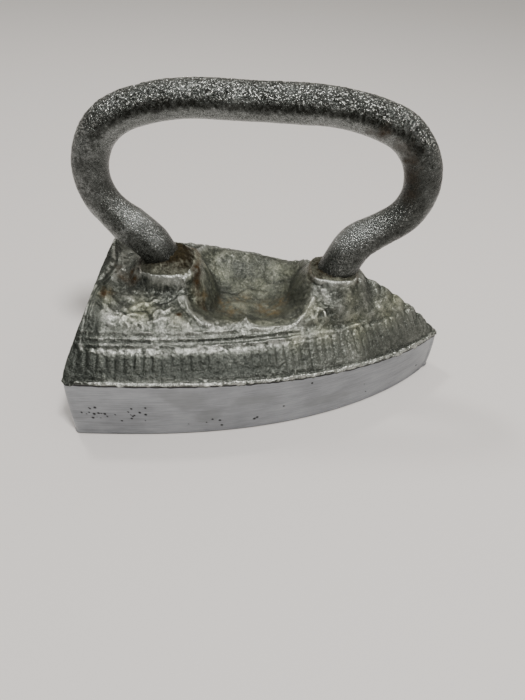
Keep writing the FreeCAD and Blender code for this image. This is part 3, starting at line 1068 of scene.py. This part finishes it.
def iron_skin(name, dark, mid, light, polish, metal, grain_size, grain_depth, contrast):
    """Old cast or forged iron: dark in its hollows, worn bright on its high spots, rusty in places, with
    painted glints, painted highlights and painted shade from its attributes.

    polish is the roughness where it is rubbed, metal is how metallic it is where it is clean, and
    contrast is how far its specks go either side of the mean.
    """
    material, tree, shader = new_material(name)
    where = place(tree)
    relief, wide = attribute(tree, "relief"), attribute(tree, "wide_relief_and_shade")
    rust, patina, ochre = attribute(tree, "rust"), attribute(tree, "patina"), attribute(tree, "ochre")
    cloud = grain(tree, where, 9.0, 4.0, 0.5)
    patch = grain(tree, where, 2.6, 5.0)
    speck = grain(tree, where, 0.55, 4.0, 0.75)

    crisp = spread(tree, speck, 0.30, 0.70, 0.25 - contrast, 0.25 + contrast)
    tone = calc(tree, "MULTIPLY_ADD", cloud, 0.50, crisp)
    tone = calc(tree, "MULTIPLY_ADD", relief, 0.8, tone)
    # wide carries the painted highlights and painted shade as well as the wider relief.
    tone = calc(tree, "MULTIPLY_ADD", wide, 0.55, tone)
    colour = ramp(tree, tone, ((0.24, dark), (0.50, mid), (0.80, light)))
    # Painted glints: bright flecks where the glint attribute asks for them.
    glint_pattern = spread(tree, grain(tree, where, 0.58, 2.0, 0.5), 0.57, 0.63)
    colour = mix(tree, times(tree, glint_pattern, attribute(tree, "glint")), colour, GLINT_COLOUR)

    patina_share = times(tree, patina, spread(tree, cloud, 0.35, 0.65, 0.25, 0.8))
    colour = mix(tree, patina_share, colour, mix(tree, 1.0, colour, PATINA_TINT, "MULTIPLY"))
    from_vein = calc(tree, "ABSOLUTE", calc(tree, "SUBTRACT", grain(tree, where, 4.2, 6.0), 0.5))
    vein = spread(tree, from_vein, 0.0, 0.035, 0.75, 0.0)
    colour = mix(tree, times(tree, vein, patina), colour, dark)
    ochre_share = times(tree, ochre, spread(tree, patch, 0.42, 0.62, 0.0, 0.7))
    colour = mix(tree, ochre_share, colour, OCHRE)
    rust_share = spread(tree, plus(tree, rust, times(tree, patch, 1.1)), 0.72, 1.45)
    colour = mix(tree, rust_share, colour, ramp(tree, speck, ((0.35, RUST_DARK), (0.65, RUST_LIGHT))))

    shine = spread(tree, plus(tree, speck, relief), 0.3, 0.75, polish + 0.16, polish)
    roughness = calc(tree, "MAXIMUM", shine, times(tree, rust_share, 0.8))
    dirt = calc(tree, "MAXIMUM", rust_share, ochre_share)
    dirt = calc(tree, "MAXIMUM", dirt, times(tree, patina, 0.5))
    height = plus(tree, grain(tree, where, grain_size, 4.0, 0.65), times(tree, speck, 0.6))
    connect(tree, shader, Base_Color=colour, Roughness=roughness,
            Metallic=spread(tree, dirt, 0.0, 1.0, metal, 0.1),
            Specular_IOR_Level=spread(tree, dirt, 0.0, 1.0, 0.5, 0.15),
            Normal=bumped(tree, 0.8, grain_depth, height))
    return material


def ground_face():
    """The machined side and sole: fine brush marks, clouds of stain and black pits, with painted shade along
    the sole's edge and under the parting edge.
    """
    material, tree, shader = new_material("ground_face")
    where = place(tree)
    stain, pits_and_edge_shade = attribute(tree, "stain"), attribute(tree, "pits_and_edge_shade")
    brushed = grain(tree, place(tree, (0.05, 0.05, 2.2)), 0.5, 5.0, 0.7)
    smears = grain(tree, place(tree, (0.25, 0.25, 1.0)), 3.0, 5.0, 0.6)
    cloud = calc(tree, "MULTIPLY_ADD", grain(tree, where, 14.0, 4.0), 0.5, times(tree, smears, 0.5))
    tone = calc(tree, "MULTIPLY_ADD", brushed, 0.5, times(tree, cloud, 0.5))
    colour = ramp(tree, tone, ((0.34, GROUND_DARK), (0.64, GROUND_LIGHT)))
    colour = mix(tree, times(tree, stain, 0.5), colour, GROUND_STAIN)
    height = node(tree, "SeparateXYZ", {"Vector": where}).outputs["Z"]
    # Painted shade: the lowest millimetre of the ground side, along the sole, is painted dark; pitted
    # carries it with the pits and the painted shade under the parting edge.
    sole_edge_shade = spread(tree, height, 0.9, 0.3, 0.0, 0.75)
    pitted = calc(tree, "MAXIMUM", spread(tree, pits_and_edge_shade, 0.25, 0.6), sole_edge_shade)
    colour = mix(tree, pitted, colour, GROUND_PIT_AND_SHADE)
    roughness = plus(tree, spread(tree, tone, 0.3, 0.7, 0.38, 0.30), times(tree, pitted, 0.4))
    connect(tree, shader, Base_Color=colour, Roughness=roughness,
            Metallic=spread(tree, pitted, 0.0, 1.0, 1.0, 0.2),
            Normal=bumped(tree, 0.25, 0.05, brushed))
    return material


def rust_scale():
    """Brown rust and old grease packed round the bar, with bare iron showing at its rim."""
    material, tree, shader = new_material("rust_scale")
    where = place(tree)
    patch = grain(tree, where, 2.4, 5.0)
    speck = grain(tree, where, 0.6, 4.0, 0.7)
    tone = calc(tree, "MULTIPLY_ADD", patch, 0.6, times(tree, speck, 0.4))
    tone = plus(tree, tone, attribute(tree, "relief"))
    rim = plus(tree, attribute(tree, "rim"), spread(tree, patch, 0.3, 0.7, -0.25, 0.25))
    bare = spread(tree, rim, 0.62, 0.95)
    bare_iron = ramp(tree, speck, ((0.3, BARE_RIM_DARK), (0.7, BARE_RIM_LIGHT)))
    colour = mix(tree, bare, ramp(tree, tone, SOCKET_RUST), bare_iron)
    metallic = calc(tree, "MAXIMUM", spread(tree, tone, 0.55, 0.8, 0.0, 0.6), times(tree, bare, 0.6))
    dull = spread(tree, tone, 0.4, 0.8, 0.85, 0.55)
    roughness = calc(tree, "SUBTRACT", dull, times(tree, bare, 0.3))
    shader.inputs["Specular IOR Level"].default_value = 0.12
    connect(tree, shader, Base_Color=colour, Roughness=roughness, Metallic=metallic,
            Normal=bumped(tree, 0.7, 0.25, speck))
    return material


# ---- Camera, light and floor
CAMERA_SPOT = (-6.8, -167.7, 152.0)  # millimetres
CAMERA_PAN, CAMERA_PITCH, CAMERA_ROLL = 1.8, 41.4, 3.3  # degrees
CAMERA_LENS, CAMERA_SENSOR = 27.05, 36.0
LAMP_COLOUR = (1.0, 0.98, 0.95)
ROOM_DARK, ROOM_BEYOND, ROOM_OVERHEAD = (0.022, 0.024, 0.018), (0.46, 0.44, 0.39), (0.66, 0.66, 0.635)
FLOOR_HALF = 2.0  # metres
# The floor's far-front part is painted dark, a painted shade that the ground side mirrors.
FLOOR_FRONT_SHADE, FLOOR_BACK = (0.20, 0.19, 0.18), (0.86, 0.82, 0.80)


def camera():
    """The photo's camera, worked out from the paper and the tray that the iron stands on."""
    data = bpy.data.cameras.new("camera")
    data.sensor_width = CAMERA_SENSOR
    data.lens = CAMERA_LENS
    piece = add_object("camera", data)
    pan, pitch, roll = (math.radians(a) for a in (CAMERA_PAN, CAMERA_PITCH, CAMERA_ROLL))
    turn = (Matrix.Rotation(-pan, 4, "Z") @ Matrix.Rotation(0.5 * math.pi - pitch, 4, "X")
            @ Matrix.Rotation(roll, 4, "Z"))
    piece.matrix_world = Matrix.Translation(Vector(CAMERA_SPOT) * MM) @ turn
    bpy.context.scene.camera = piece


def lamp(name, spot, aim, side, power):
    """A square lamp of the given side in metres, and power in watts."""
    data = bpy.data.lights.new(name, "AREA")
    data.shape = "RECTANGLE"
    data.size = data.size_y = side
    data.energy = power
    data.color = LAMP_COLOUR
    turn = (Vector(aim) - Vector(spot)).to_track_quat("-Z", "Y").to_matrix().to_4x4()
    add_object(name, data).matrix_world = Matrix.Translation(spot) @ turn


def surroundings():
    """A dim room: dark on the side the iron is seen from, lighter beyond it and overhead."""
    world = bpy.data.worlds.new("studio")
    bpy.context.scene.world = world
    world.use_nodes = True
    tree = world.node_tree
    direction = node(tree, "TexCoord").outputs["Generated"]
    split = node(tree, "SeparateXYZ", {"Vector": direction}).outputs
    beyond = spread(tree, calc(tree, "MULTIPLY_ADD", split["X"], 0.55, split["Y"]), -0.35, 0.65)
    overhead = spread(tree, split["Z"], 0.45, 0.92)
    colour = mix(tree, overhead, mix(tree, beyond, ROOM_DARK, ROOM_BEYOND), ROOM_OVERHEAD)
    tree.links.new(colour, tree.nodes["Background"].inputs["Color"])


def pale_floor():
    """A plain floor, painted dark well in front of the iron, out of sight: a painted shade for the ground
    side to mirror.
    """
    material, tree, shader = new_material("pale_floor")
    across = node(tree, "SeparateXYZ", {"Vector": place(tree)}).outputs["Y"]
    pale = spread(tree, across, -620.0, -260.0)
    connect(tree, shader, Base_Color=mix(tree, pale, FLOOR_FRONT_SHADE, FLOOR_BACK))
    shader.inputs["Roughness"].default_value = 0.8
    h = FLOOR_HALF
    mesh = bpy.data.meshes.new("floor")
    mesh.from_pydata([(-h, -h, 0), (h, -h, 0), (h, h, 0), (-h, h, 0)], [], [(0, 1, 2, 3)])
    mesh.materials.append(material)
    add_object("floor", mesh)


# ---- Pieces
def fit(piece, node_name):
    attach(piece, "root")
    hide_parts(node_name)


camera()
surroundings()
lamp("overhead", (0.20, -0.33, 0.88), (0.0, 0.0, 0.0), 0.13, 6.6)
lamp("second_lamp", (-0.35, 0.35, 0.90), (0.0, 0.0, 0.05), 0.12, 2.0)
pale_floor()

cast_skin = iron_skin("cast_skin", (0.038, 0.042, 0.036), (0.126, 0.134, 0.116), (0.41, 0.42, 0.385),
                      polish=0.20, metal=0.68, grain_size=0.8, grain_depth=0.26, contrast=0.19)
bar_skin = iron_skin("bar_skin", (0.021, 0.022, 0.019), (0.088, 0.093, 0.088), (0.35, 0.365, 0.36),
                     polish=0.17, metal=0.92, grain_size=0.55, grain_depth=0.32, contrast=0.11)
socket_rust = rust_scale()

rows, slots, values = casting()
fit(grid_piece("iron_casting", rows, [cast_skin, ground_face()], values, slots), "body_casting")

rows, values = handle_bar()
fit(grid_piece("bar_handle", rows, [bar_skin], values), "handle_bar")

for label, post, heap in zip(("rear", "front"), POSTS, HEAPS):
    rows, values = packing(post, heap)
    piece = grid_piece(label + "_socket_rust", rows, [socket_rust], values)
    fit(piece, label + "_socket_packing")
